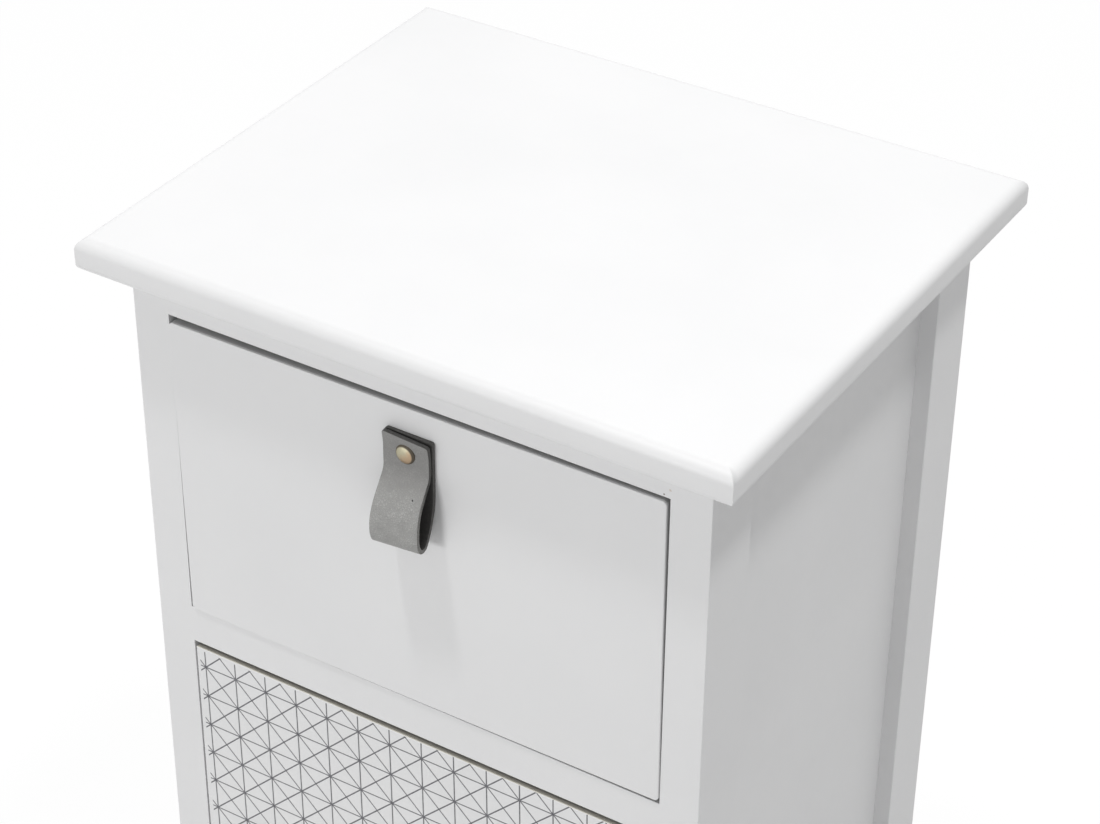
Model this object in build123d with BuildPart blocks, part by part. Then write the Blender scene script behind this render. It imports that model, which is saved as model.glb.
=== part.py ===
import os
from math import cos, radians, sin, tan

from build123d import *

# A small white nightstand: a drawer over a cupboard door, on four straight posts.
# The origin is on the floor at the middle of the footprint, the front faces -Y, +Z is up.

os.makedirs("parts", exist_ok=True)

# Overall size, given by the top board and the floor
overall_width = 360.0
overall_depth = 300.0
overall_height = 600.0

# Top board
top_thickness = 17.5
top_upper_radius = 6.0
top_lower_radius = 4.0
side_overhang = 18.7
front_overhang = 18.2
rear_overhang = 19.0

# Posts and their grooves for the side panels
post_width = 21.3
front_post_depth = 37.5
rear_post_depth = 35.0
post_edge_radius = 0.6
side_recess = 9.4
side_thickness = 6.0
side_groove_depth = 8.0
side_tongue = 7.5

# Rails, from the top down with the openings between them
top_rail_height = 21.1
drawer_opening_height = 178.9
mid_rail_height = 22.5
door_opening_height = 280.0
bottom_rail_height = 22.5
front_rail_depth = 18.0
rear_rail_depth = 15.0
rail_edge_radius = 0.4

# Sheet parts
back_thickness = 3.0
back_rebate_width = 8.0
divider_thickness = 6.0
divider_lift = 4.0
floor_thickness = 9.0
ledge_depth = 6.0
sheet_clearance = 0.2

# Floor glides
glide_height = 3.0
glide_radius = 8.0
glide_edge = 1.2
glide_pin_radius = 1.2
glide_pin_length = 12.0

# Dowels, two in each rail end
dowel_radius = 3.0
dowel_length = 28.0
dowel_pitch = 11.0
dowel_end_gap = 0.5
dowel_chamfer = 0.8
front_dowel_inset = 7.0
rear_dowel_inset = 10.5

# Screws and nails; a hole is wider than what goes in it by hole_clearance
hole_clearance = 0.05
hole_end_room = 1.0
wood_screw_radius = 1.75
wood_screw_head_radius = 3.4
runner_screw_length = 20.0
front_screw_length = 22.0
front_screw_x = 95.0
front_screw_levels = (36.0, 100.0)
top_screw_radius = 2.0
top_screw_head_radius = 3.8
top_screw_length = 34.0
top_screw_x = 90.0
small_screw_radius = 1.2
small_screw_head_radius = 2.05
small_screw_length = 11.0
catch_screw_length = 8.0
nail_radius = 0.8
nail_head_radius = 1.8
nail_head_height = 0.7
nail_length = 15.0
post_nail_levels = (100.0, 200.0, 300.0, 430.0, 530.0)
rail_nail_x = 60.0
rail_nail_inset = 6.5
countersink_angle = 82.0

# Drawer
front_thickness = 15.0
front_proud = 1.0
front_side_gap = 0.85
front_top_gap = 3.6
front_bottom_gap = 0.25
front_lean = 0.37
front_corner_radius = 2.5
front_edge_radius = 0.5
box_half_width = 137.0
box_board = 12.0
box_lift = 9.5
box_height = 130.0
box_rear = 105.0
finger_count = 5
drawer_bottom_thickness = 3.0
drawer_bottom_lift = 8.0
bottom_groove_depth = 5.0

# Drawer runners: strips on the posts, in grooves of the drawer sides
runner_height = 10.0
runner_reach = 8.8
runner_groove_depth = 6.5
runner_clearance = 0.25
runner_front = -113.5
runner_rear = 112.0
runner_front_screw_inset = 6.5
runner_rear_screw_inset = 4.0

# Door
door_thickness = 15.0
door_left_gap = 0.9
door_hinge_gap = 2.3
door_top_gap = 3.6
door_bottom_gap = 1.5
door_edge_radius = 0.5

# Butt hinges
hinge_height = 40.0
knuckle_count = 5
knuckle_radius = 2.5
knuckle_gap = 0.25
leaf_thickness = 1.0
leaf_width = 17.0
leaf_corner_radius = 2.0
pin_radius = 1.2
pin_head_radius = 1.9
pin_head_height = 1.3
pin_forward = 2.6
hinge_end_distance = 45.0
leaf_screw_set_back = 10.5
leaf_screw_pitch = 26.0

# Leather strap pulls
strap_width = 26.0
strap_thickness = 2.2
strap_leaf_gap = 0.15
strap_straight = 16.0
strap_flare_radius = 11.0
strap_flare_angle = 33.0
strap_ramp = 9.8
strap_belly_radius = 31.0
strap_hip_radius = 14.0
strap_hip_angle = 25.0
strap_foot_radius = 3.2
strap_foot_angle = 125.0
strap_height = 57.0
stud_drop = 8.0
stud_cap_radius = 5.25
stud_cap_height = 1.7
stud_rim_height = 0.5
stud_crown_radius = 2.9
stud_crown_height = 1.46
stud_neck_radius = 2.9
stud_bore_depth = 3.4
pull_screw_radius = 2.0
pull_screw_head_radius = 3.75
pull_screw_head_height = 2.4
pull_screw_head_ease = 0.8
pull_screw_end_gap = 0.4
drawer_pull_x = 2.0
drawer_pull_top_gap = 16.9
door_pull_inset = 40.0
door_pull_drop = 117.0

# Magnet catch on the left front post, halfway up the door
catch_height = 40.0
catch_body_height = 26.0
catch_width = 13.0
catch_depth = 18.0
catch_ear_depth = 7.0
catch_ear_width = 3.0
catch_corner_radius = 1.0
catch_screw_pitch = 33.0
pole_thickness = 1.5
pole_reach = 1.0
magnet_width = 6.0
magnet_height = 20.0
magnet_depth = 10.0
strike_thickness = 1.0
strike_width = 11.0
strike_height = 30.0
strike_gap = 0.15
strike_screw_length = 9.0

# Levels and planes that follow from these sizes
underside = overall_height - top_thickness
drawer_ceiling = underside - top_rail_height
drawer_sill = drawer_ceiling - drawer_opening_height
door_ceiling = drawer_sill - mid_rail_height
door_sill = door_ceiling - door_opening_height
carcass_base = door_sill - bottom_rail_height
body_half = overall_width / 2 - side_overhang
opening_half = body_half - post_width
front_face = -overall_depth / 2 + front_overhang
rear_face = overall_depth / 2 - rear_overhang
front_post_back = front_face + front_post_depth
rear_post_front = rear_face - rear_post_depth
front_rail_back = front_face + front_rail_depth
rear_rail_back = rear_face - back_thickness
rear_rail_front = rear_rail_back - rear_rail_depth
side_outer = body_half - side_recess
side_inner = side_outer - side_thickness
divider_base = door_ceiling + divider_lift

box_base = drawer_sill + box_lift
box_front_face = front_face - front_proud + front_thickness
finger_height = box_height / finger_count
runner_middle = box_base + box_height / 2
drawer_bottom_base = box_base + drawer_bottom_lift

door_left = -opening_half + door_left_gap
door_right = opening_half - door_hinge_gap
door_low = door_sill + door_bottom_gap
door_high = door_ceiling - door_top_gap
door_back = front_face + door_thickness
pin_x = opening_half - door_hinge_gap / 2
pin_y = front_face - pin_forward
knuckle_height = hinge_height / knuckle_count
hinge_middles = {
    "upper": door_high - hinge_end_distance,
    "lower": door_low + hinge_end_distance,
}

rail_levels = {
    "top": (drawer_ceiling, top_rail_height),
    "mid": (door_ceiling, mid_rail_height),
    "bottom": (carcass_base, bottom_rail_height),
}

facing_front = (0, -1, 0)
facing_back = (0, 1, 0)
facing_left = (-1, 0, 0)
facing_right = (1, 0, 0)
facing_down = (0, 0, -1)


def save(piece, name):
    piece.part.label = name
    export_step(piece.part, f"parts/{name}.step")


def middle(low, high):
    return (low + high) / 2


def spots(points, facing):
    """Planes at the points, each with its normal along facing."""
    return [Plane(origin=point, z_dir=facing) for point in points]


def dowel_points(x, inset):
    """Dowel centres on the plane at x: two in each rail, one above the other."""
    return [
        (x, inset, base + height / 2 + side * dowel_pitch / 2)
        for base, height in rail_levels.values()
        for side in (-1, 1)
    ]


front_dowel_y = front_face + front_dowel_inset
rear_dowel_y = rear_rail_front + rear_dowel_inset
dowel_hole_depth = dowel_length / 2 + dowel_end_gap
dowel_hole_radius = dowel_radius + hole_clearance

front_runner_screw_y = runner_front + runner_front_screw_inset
rear_runner_screw_y = runner_rear - runner_rear_screw_inset
runner_screw_ys = (front_runner_screw_y, rear_runner_screw_y)
runner_face = opening_half - runner_reach

leaf_screw_y = pin_y + leaf_screw_set_back
leaf_screw_zs = [
    centre + side * leaf_screw_pitch / 2
    for centre in hinge_middles.values()
    for side in (-1, 1)
]
frame_leaf_inner = opening_half - leaf_thickness
door_leaf_outer = door_right + leaf_thickness

catch_middle = middle(door_low, door_high)
catch_front = door_back + strike_thickness + strike_gap + pole_reach
catch_screw_y = catch_front + catch_depth - catch_ear_depth / 2
catch_screw_zs = [catch_middle + side * catch_screw_pitch / 2 for side in (-1, 1)]

# Nails through the back panel, into the rear posts and rails
post_nail_x = opening_half + back_rebate_width / 2
rail_nail_levels = (
    carcass_base + rail_nail_inset,
    drawer_sill - rail_nail_inset,
    drawer_ceiling + rail_nail_inset,
)
nail_xz = [(side * post_nail_x, z) for side in (-1, 1) for z in post_nail_levels]
nail_xz += [(side * rail_nail_x, z) for side in (-1, 1) for z in rail_nail_levels]
nail_hole_depth = nail_length - back_thickness + hole_end_room


# Top board, rounded over all round


def top_screw_points(z):
    """Where the four screws from the top rails into the top board cross the level z."""
    return [
        (x, y, z)
        for x in (-top_screw_x, top_screw_x)
        for y in (middle(front_face, front_rail_back), middle(rear_rail_front, rear_rail_back))
    ]


top_screw_hole_depth = top_screw_length - top_rail_height + hole_end_room

with BuildPart() as top_panel:
    with BuildSketch(Plane.XY.offset(underside)):
        Rectangle(overall_width, overall_depth)
    extrude(amount=top_thickness)
    fillet(top_panel.faces().sort_by(Axis.Z)[-1].edges(), top_upper_radius)
    fillet(top_panel.faces().sort_by(Axis.Z)[0].edges(), top_lower_radius)
    with Locations(*spots(top_screw_points(underside), facing_down)):
        Hole(top_screw_radius + hole_clearance, depth=top_screw_hole_depth)
save(top_panel, "top_panel")


# Posts: the right-hand ones are made and the left-hand ones mirrored

post_middle_x = middle(opening_half, body_half)
side_middle_x = middle(side_inner, side_outer)
glide_hole_depth = glide_pin_length + hole_end_room
runner_hole_depth = runner_screw_length - runner_reach + hole_end_room
catch_hole_depth = catch_screw_length - catch_ear_width + hole_end_room / 2
front_glide_y = middle(front_face, front_post_back)
rear_glide_y = middle(rear_post_front, rear_face)

with BuildPart() as front_right_post:
    with BuildSketch(Plane.XY.offset(glide_height)):
        with Locations((post_middle_x, front_glide_y)):
            Rectangle(post_width, front_post_depth)
    extrude(amount=underside - glide_height)
    fillet(front_right_post.edges().filter_by(Axis.Z).group_by(Axis.X)[-1], post_edge_radius)
    with BuildSketch(Plane.XY.offset(carcass_base)):
        with Locations((side_middle_x, front_post_back - side_groove_depth / 2)):
            Rectangle(side_thickness, side_groove_depth)
    extrude(amount=underside - carcass_base, mode=Mode.SUBTRACT)
    with Locations(*spots(dowel_points(opening_half, front_dowel_y), facing_left)):
        Hole(dowel_hole_radius, depth=dowel_hole_depth)
    with Locations(*spots([(opening_half, front_runner_screw_y, runner_middle)], facing_left)):
        Hole(wood_screw_radius + hole_clearance, depth=runner_hole_depth)
    with Locations(*spots([(post_middle_x, front_glide_y, glide_height)], facing_down)):
        Hole(glide_pin_radius + hole_clearance, depth=glide_hole_depth)

with BuildPart() as rear_right_post:
    with BuildSketch(Plane.XY.offset(glide_height)):
        with Locations((post_middle_x, rear_glide_y)):
            Rectangle(post_width, rear_post_depth)
    extrude(amount=underside - glide_height)
    fillet(rear_right_post.edges().filter_by(Axis.Z).group_by(Axis.X)[-1], post_edge_radius)
    with BuildSketch(Plane.XY.offset(carcass_base)):
        with Locations((side_middle_x, rear_post_front + side_groove_depth / 2)):
            Rectangle(side_thickness, side_groove_depth)
        with Locations((opening_half + back_rebate_width / 2, rear_face - back_thickness / 2)):
            Rectangle(back_rebate_width, back_thickness)
    extrude(amount=underside - carcass_base, mode=Mode.SUBTRACT)
    with Locations(*spots(dowel_points(opening_half, rear_dowel_y), facing_left)):
        Hole(dowel_hole_radius, depth=dowel_hole_depth)
    with Locations(*spots([(opening_half, rear_runner_screw_y, runner_middle)], facing_left)):
        Hole(wood_screw_radius + hole_clearance, depth=runner_hole_depth)
    with Locations(*spots([(x, rear_rail_back, z) for x, z in nail_xz if x == post_nail_x], facing_back)):
        Hole(nail_radius + hole_clearance, depth=nail_hole_depth)
    with Locations(*spots([(post_middle_x, rear_glide_y, glide_height)], facing_down)):
        Hole(glide_pin_radius + hole_clearance, depth=glide_hole_depth)

with BuildPart() as front_left_post:
    mirror(front_right_post.part, about=Plane.YZ)
    with Locations(*spots([(-opening_half, catch_screw_y, z) for z in catch_screw_zs], facing_right)):
        Hole(small_screw_radius + hole_clearance, depth=catch_hole_depth)

with BuildPart() as rear_left_post:
    mirror(rear_right_post.part, about=Plane.YZ)

with BuildPart() as hinged_post:
    add(front_right_post.part)
    with Locations(*spots([(opening_half, leaf_screw_y, z) for z in leaf_screw_zs], facing_left)):
        Hole(small_screw_radius + hole_clearance, depth=small_screw_length)

save(hinged_post, "front_right_post")
save(front_left_post, "front_left_post")
save(rear_right_post, "rear_right_post")
save(rear_left_post, "rear_left_post")


# Side panels, let into the grooves of the posts

for side_name, side in (("left", -1), ("right", 1)):
    with BuildPart() as side_panel:
        with BuildSketch(Plane.XY.offset(carcass_base)):
            with Locations((side * side_middle_x, middle(front_post_back, rear_post_front))):
                Rectangle(side_thickness, rear_post_front - front_post_back + 2 * side_tongue)
        extrude(amount=underside - carcass_base)
    save(side_panel, f"{side_name}_side_panel")


# Rails between the posts


def plain_rail(front_y, depth, level, dowel_y):
    """A rail with a pair of dowel holes in each end and eased front edges."""
    base, height = rail_levels[level]
    with BuildPart() as rail:
        with BuildSketch(Plane.YZ.offset(-opening_half)):
            with Locations((front_y + depth / 2, base + height / 2)):
                Rectangle(depth, height)
        extrude(amount=2 * opening_half)
        fillet(rail.edges().filter_by(Axis.X).group_by(Axis.Y)[0], rail_edge_radius)
        for end, facing in ((-opening_half, facing_left), (opening_half, facing_right)):
            own_points = [point for point in dowel_points(end, dowel_y) if base < point[2] < base + height]
            with Locations(*spots(own_points, facing)):
                Hole(dowel_hole_radius, depth=dowel_hole_depth)
    return rail.part


def rail_nail_spots(low, high):
    """Where the back panel's nails enter the rear rail between two levels."""
    points = [(x, rear_rail_back, z) for x, z in nail_xz if abs(x) < opening_half and low < z < high]
    return spots(points, facing_back)


rail_places = {
    "front": (front_face, front_rail_depth, front_dowel_y, front_rail_back - ledge_depth / 2),
    "rear": (rear_rail_front, rear_rail_depth, rear_dowel_y, rear_rail_front + ledge_depth / 2),
}

for place, (front_y, depth, dowel_y, ledge_y) in rail_places.items():
    top_stock = plain_rail(front_y, depth, "top", dowel_y)
    mid_stock = plain_rail(front_y, depth, "mid", dowel_y)
    bottom_stock = plain_rail(front_y, depth, "bottom", dowel_y)
    screw_points = [
        point for point in top_screw_points(drawer_ceiling) if front_y < point[1] < front_y + depth
    ]

    with BuildPart() as top_rail:
        add(top_stock)
        with Locations(*spots(screw_points, facing_down)):
            CounterSinkHole(
                top_screw_radius + hole_clearance,
                top_screw_head_radius + hole_clearance,
                counter_sink_angle=countersink_angle,
            )
        if place == "rear":
            with Locations(*rail_nail_spots(drawer_ceiling, underside)):
                Hole(nail_radius + hole_clearance, depth=nail_hole_depth)
    save(top_rail, f"{place}_top_rail")

    with BuildPart() as mid_rail:
        add(mid_stock)
        with BuildSketch(Plane.YZ.offset(-opening_half)):
            with Locations((ledge_y, divider_base + divider_thickness / 2)):
                Rectangle(ledge_depth, divider_thickness)
        extrude(amount=2 * opening_half, mode=Mode.SUBTRACT)
        if place == "rear":
            with Locations(*rail_nail_spots(door_ceiling, drawer_sill)):
                Hole(nail_radius + hole_clearance, depth=nail_hole_depth)
    save(mid_rail, f"{place}_mid_rail")

    with BuildPart() as bottom_rail:
        add(bottom_stock)
        with BuildSketch(Plane.YZ.offset(-opening_half)):
            with Locations((ledge_y, door_sill - floor_thickness / 2)):
                Rectangle(ledge_depth, floor_thickness)
        extrude(amount=2 * opening_half, mode=Mode.SUBTRACT)
        if place == "rear":
            with Locations(*rail_nail_spots(carcass_base, door_sill)):
                Hole(nail_radius + hole_clearance, depth=nail_hole_depth)
    save(bottom_rail, f"{place}_bottom_rail")

with BuildPart() as dowel:
    Cylinder(dowel_radius, dowel_length)
    chamfer(dowel.edges().filter_by(GeomType.CIRCLE), dowel_chamfer)

joint_points = [
    point
    for side in (-1, 1)
    for dowel_y in (front_dowel_y, rear_dowel_y)
    for point in dowel_points(side * opening_half, dowel_y)
]
with BuildPart() as frame_dowels:
    with Locations(*spots(joint_points, facing_right)):
        add(dowel.part)
save(frame_dowels, "frame_dowels")


# Divider and cupboard floor: sheets held by the rails and notched round the posts


def notched_sheet(base, thickness):
    """A sheet as wide as the side panels leave, narrower where it passes the posts."""
    with BuildPart() as sheet:
        with BuildSketch(Plane.XY.offset(base)):
            with Locations((0, middle(front_post_back, rear_post_front))):
                Rectangle(
                    2 * (side_inner - sheet_clearance),
                    rear_post_front - front_post_back - 2 * sheet_clearance,
                )
            with Locations((0, middle(front_rail_back, rear_rail_front))):
                Rectangle(
                    2 * (opening_half - sheet_clearance),
                    rear_rail_front - front_rail_back + 2 * (ledge_depth - sheet_clearance),
                )
        extrude(amount=thickness)
    return sheet.part


divider_stock = notched_sheet(divider_base, divider_thickness)
with BuildPart() as divider_panel:
    add(divider_stock)
save(divider_panel, "divider_panel")

floor_stock = notched_sheet(door_sill - floor_thickness, floor_thickness)
with BuildPart() as bottom_panel:
    add(floor_stock)
save(bottom_panel, "bottom_panel")


# Back panel in the rebates of the rear posts, and its nails

back_half_width = opening_half + back_rebate_width - sheet_clearance
with BuildPart() as back_panel:
    with BuildSketch(Plane.XZ.offset(-rear_rail_back)):
        with Locations((0, middle(carcass_base, underside))):
            Rectangle(2 * back_half_width, underside - carcass_base - 2 * sheet_clearance)
    extrude(amount=-back_thickness)
    with Locations(*spots([(x, rear_face, z) for x, z in nail_xz], facing_back)):
        Hole(nail_radius + hole_clearance)
save(back_panel, "back_panel")

with BuildPart() as nail:
    with BuildSketch(Plane.XZ):
        with BuildLine():
            Polyline(
                (0, nail_head_height),
                (nail_head_radius, nail_head_height),
                (nail_head_radius, 0),
                (nail_radius, 0),
                (nail_radius, nail_radius - nail_length),
                (0, -nail_length),
                close=True,
            )
        make_face()
    revolve(axis=Axis.Z)

with BuildPart() as back_panel_nails:
    with Locations(*spots([(x, rear_face, z) for x, z in nail_xz], facing_back)):
        add(nail.part)
save(back_panel_nails, "back_panel_nails")


# Floor glides, one nailed under each post

with BuildPart() as glide:
    with BuildSketch(Plane.XZ):
        with BuildLine():
            Polyline(
                (0, glide_height + glide_pin_length),
                (glide_pin_radius, glide_height + glide_pin_length - glide_pin_radius),
                (glide_pin_radius, glide_height),
                (glide_radius, glide_height),
                (glide_radius, glide_edge),
            )
            TangentArc((glide_radius, glide_edge), (glide_radius - glide_edge, 0), tangent=(0, -1))
            Polyline((glide_radius - glide_edge, 0), (0, 0), (0, glide_height + glide_pin_length))
        make_face()
    revolve(axis=Axis.Z)

glide_points = [(side * post_middle_x, y, 0) for side in (-1, 1) for y in (front_glide_y, rear_glide_y)]
with BuildPart() as floor_glides:
    with Locations(*glide_points):
        add(glide.part)
save(floor_glides, "floor_glides")


# Countersunk screws


def countersunk_screw(radius, head_radius, length):
    """A screw with its flat head at the origin and its shank down along -Z."""
    head_height = (head_radius - radius) / tan(radians(countersink_angle / 2))
    with BuildPart() as screw:
        with BuildSketch(Plane.XZ):
            with BuildLine():
                Polyline(
                    (0, 0),
                    (head_radius, 0),
                    (radius, -head_height),
                    (radius, radius * 1.5 - length),
                    (0, -length),
                    close=True,
                )
            make_face()
        revolve(axis=Axis.Z)
    return screw.part


top_screw = countersunk_screw(top_screw_radius, top_screw_head_radius, top_screw_length)
with BuildPart() as top_screws:
    with Locations(*spots(top_screw_points(drawer_ceiling), facing_down)):
        add(top_screw)
save(top_screws, "top_screws")


# Drawer runners: a strip on each side, screwed to the front and rear posts

with BuildPart() as right_drawer_runner:
    with BuildSketch(Plane.YZ.offset(runner_face)):
        with Locations((middle(runner_front, runner_rear), runner_middle)):
            Rectangle(runner_rear - runner_front, runner_height)
    extrude(amount=runner_reach)
    fillet(right_drawer_runner.edges().filter_by(Axis.Y).group_by(Axis.X)[0], rail_edge_radius)
    with Locations(*spots([(runner_face, y, runner_middle) for y in runner_screw_ys], facing_left)):
        CounterSinkHole(
            wood_screw_radius + hole_clearance,
            wood_screw_head_radius + hole_clearance,
            counter_sink_angle=countersink_angle,
        )
save(right_drawer_runner, "right_drawer_runner")

with BuildPart() as left_drawer_runner:
    mirror(right_drawer_runner.part, about=Plane.YZ)
save(left_drawer_runner, "left_drawer_runner")

runner_screw = countersunk_screw(wood_screw_radius, wood_screw_head_radius, runner_screw_length)
with BuildPart() as runner_screws:
    with Locations(*spots([(runner_face, y, runner_middle) for y in runner_screw_ys], facing_left)):
        add(runner_screw)
    with Locations(*spots([(-runner_face, y, runner_middle) for y in runner_screw_ys], facing_right)):
        add(runner_screw)
save(runner_screws, "runner_screws")


# Drawer box, finger-jointed at its corners

end_fingers = [n for n in range(finger_count) if n % 2 == 1]
box_middle_y = middle(box_front_face, box_rear)
box_length = box_rear - box_front_face
box_inner = box_half_width - box_board
groove_middle = drawer_bottom_base + drawer_bottom_thickness / 2


def finger_level(n):
    return box_base + (n + 0.5) * finger_height


with BuildPart() as drawer_right_side:
    with BuildSketch(Plane.YZ.offset(box_inner)):
        with Locations((box_middle_y, box_base + box_height / 2)):
            Rectangle(box_length, box_height)
        for end in (box_front_face + box_board / 2, box_rear - box_board / 2):
            with Locations(*[(end, finger_level(n)) for n in end_fingers]):
                Rectangle(box_board, finger_height, mode=Mode.SUBTRACT)
    extrude(amount=box_board)
    with BuildSketch(Plane.YZ.offset(box_inner)):
        with Locations((box_middle_y, groove_middle)):
            Rectangle(box_length - 2 * (box_board - bottom_groove_depth), drawer_bottom_thickness)
    extrude(amount=bottom_groove_depth, mode=Mode.SUBTRACT)
    with BuildSketch(Plane.YZ.offset(box_half_width)):
        with Locations((middle(runner_front - runner_clearance, box_rear), runner_middle)):
            Rectangle(box_rear - runner_front + runner_clearance, runner_height + 2 * runner_clearance)
    extrude(amount=-runner_groove_depth, mode=Mode.SUBTRACT)
save(drawer_right_side, "drawer_right_side")

with BuildPart() as drawer_left_side:
    mirror(drawer_right_side.part, about=Plane.YZ)
save(drawer_left_side, "drawer_left_side")


def box_end(outer_y, inward):
    """The front or back board of the box, its fingers reaching through the sides."""
    with BuildPart() as board:
        with BuildSketch(Plane.XZ.offset(-outer_y)):
            with Locations((0, box_base + box_height / 2)):
                Rectangle(2 * box_inner, box_height)
            with Locations(*[(0, finger_level(n)) for n in end_fingers]):
                Rectangle(2 * box_half_width, finger_height)
        extrude(amount=-inward * box_board)
        with BuildSketch(Plane.XZ.offset(-outer_y - inward * box_board)):
            with Locations((0, groove_middle)):
                Rectangle(2 * box_inner, drawer_bottom_thickness)
        extrude(amount=inward * bottom_groove_depth, mode=Mode.SUBTRACT)
    return board.part


front_board_stock = box_end(box_front_face, 1)
front_board_inner_y = box_front_face + box_board
front_screw_points = [
    (side_x, front_board_inner_y, box_base + level)
    for side_x in (-front_screw_x, front_screw_x)
    for level in front_screw_levels
]
with BuildPart() as drawer_box_front:
    add(front_board_stock)
    with Locations(*spots(front_screw_points, facing_back)):
        CounterSinkHole(
            wood_screw_radius + hole_clearance,
            wood_screw_head_radius + hole_clearance,
            counter_sink_angle=countersink_angle,
        )
save(drawer_box_front, "drawer_box_front")

back_board_stock = box_end(box_rear, -1)
with BuildPart() as drawer_back:
    add(back_board_stock)
save(drawer_back, "drawer_back")

with BuildPart() as drawer_bottom:
    with BuildSketch(Plane.XY.offset(drawer_bottom_base)):
        with Locations((0, box_middle_y)):
            Rectangle(
                2 * (box_inner + bottom_groove_depth - sheet_clearance),
                box_length - 2 * (box_board - bottom_groove_depth + sheet_clearance),
            )
    extrude(amount=drawer_bottom_thickness)
save(drawer_bottom, "drawer_bottom")


# Drawer front: it fills its opening closely and leans a little, so that its top gap narrows
# towards the right while its lower left corner stays just clear of the rail below

front_width = 2 * opening_half - 2 * front_side_gap
lean_rise = front_width * sin(radians(front_lean))
front_height = drawer_opening_height - front_top_gap - front_bottom_gap
front_middle_z = drawer_sill + front_bottom_gap + (front_height * cos(radians(front_lean)) + lean_rise) / 2
drawer_face = front_face - front_proud
drawer_pull_top = drawer_ceiling - drawer_pull_top_gap

with BuildPart() as drawer_front:
    with BuildSketch(Plane.XZ.offset(-drawer_face)):
        with Locations((0, front_middle_z)):
            RectangleRounded(front_width, front_height, front_corner_radius, rotation=front_lean)
    extrude(amount=-front_thickness)
    fillet(drawer_front.faces().sort_by(Axis.Y)[0].edges(), front_edge_radius)
    with Locations(*spots([(drawer_pull_x, drawer_face, drawer_pull_top - stud_drop)], facing_front)):
        Hole(pull_screw_radius + hole_clearance)
    with Locations(*spots([(x, box_front_face, z) for x, _, z in front_screw_points], facing_back)):
        Hole(wood_screw_radius + hole_clearance, depth=front_screw_length - box_board + hole_end_room)
save(drawer_front, "drawer_front")

front_screw = countersunk_screw(wood_screw_radius, wood_screw_head_radius, front_screw_length)
with BuildPart() as drawer_front_screws:
    with Locations(*spots(front_screw_points, facing_back)):
        add(front_screw)
save(drawer_front_screws, "drawer_front_screws")


# Door

hinge_leaf_spots = [(door_right, leaf_screw_y, z) for z in leaf_screw_zs]
door_pull_x = door_left + door_pull_inset
door_pull_top = door_high - door_pull_drop
catch_x = -opening_half + catch_width / 2

with BuildPart() as door_panel:
    with BuildSketch(Plane.XZ.offset(-front_face)):
        with Locations((middle(door_left, door_right), middle(door_low, door_high))):
            Rectangle(door_right - door_left, door_high - door_low)
    extrude(amount=-door_thickness)
    fillet(door_panel.faces().sort_by(Axis.Y)[0].edges(), door_edge_radius)
    fillet(door_panel.faces().sort_by(Axis.Y)[-1].edges().sort_by(Axis.X)[0], door_edge_radius)
    with Locations(*spots(hinge_leaf_spots, facing_right)):
        Hole(small_screw_radius + hole_clearance, depth=small_screw_length)
    with Locations(*spots([(door_pull_x, front_face, door_pull_top - stud_drop)], facing_front)):
        Hole(pull_screw_radius + hole_clearance)
    with Locations(*spots([(catch_x, door_back, catch_middle)], facing_back)):
        Hole(small_screw_radius + hole_clearance, depth=strike_screw_length)
save(door_panel, "door_panel")


# Butt hinges: rolled knuckles that interleave on one pin


def hinge_leaf(centre_z, plate_side, own_knuckles):
    """A leaf whose plate lies on the given side of the pin, with its own knuckles kept."""
    base = centre_z - hinge_height / 2
    other_knuckles = [n for n in range(knuckle_count) if n not in own_knuckles]
    plate_x = pin_x + plate_side * (door_hinge_gap - leaf_thickness) / 2
    screw_face_x = plate_x - plate_side * leaf_thickness / 2
    screw_facing = facing_left if plate_side > 0 else facing_right
    screw_levels = [centre_z + side * leaf_screw_pitch / 2 for side in (-1, 1)]
    with BuildPart() as leaf:
        with BuildSketch(Plane.YZ.offset(plate_x)):
            with Locations((pin_y + leaf_width / 2, centre_z)):
                Rectangle(leaf_width, hinge_height)
        extrude(amount=leaf_thickness / 2, both=True)
        fillet(leaf.edges().filter_by(Axis.X).group_by(Axis.Y)[-1], leaf_corner_radius)
        for n in other_knuckles:
            with BuildSketch(Plane.XY.offset(base + n * knuckle_height - knuckle_gap / 2)):
                with Locations((pin_x, pin_y)):
                    Circle(knuckle_radius + knuckle_gap)
            extrude(amount=knuckle_height + knuckle_gap, mode=Mode.SUBTRACT)
        for n in own_knuckles:
            low = base + n * knuckle_height + (knuckle_gap / 2 if n > 0 else 0)
            high = base + (n + 1) * knuckle_height - (knuckle_gap / 2 if n < knuckle_count - 1 else 0)
            with BuildSketch(Plane.XY.offset(low)):
                with Locations((pin_x, pin_y)):
                    Circle(knuckle_radius)
            extrude(amount=high - low)
        with BuildSketch(Plane.XY.offset(base)):
            with Locations((pin_x, pin_y)):
                Circle(pin_radius + hole_clearance)
        extrude(amount=hinge_height, mode=Mode.SUBTRACT)
        with Locations(*spots([(screw_face_x, leaf_screw_y, z) for z in screw_levels], screw_facing)):
            CounterSinkHole(
                small_screw_radius + hole_clearance,
                small_screw_head_radius + hole_clearance,
                counter_sink_angle=countersink_angle,
            )
    return leaf.part


frame_knuckles = [n for n in range(knuckle_count) if n % 2 == 0]
door_knuckles = [n for n in range(knuckle_count) if n % 2 == 1]

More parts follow.
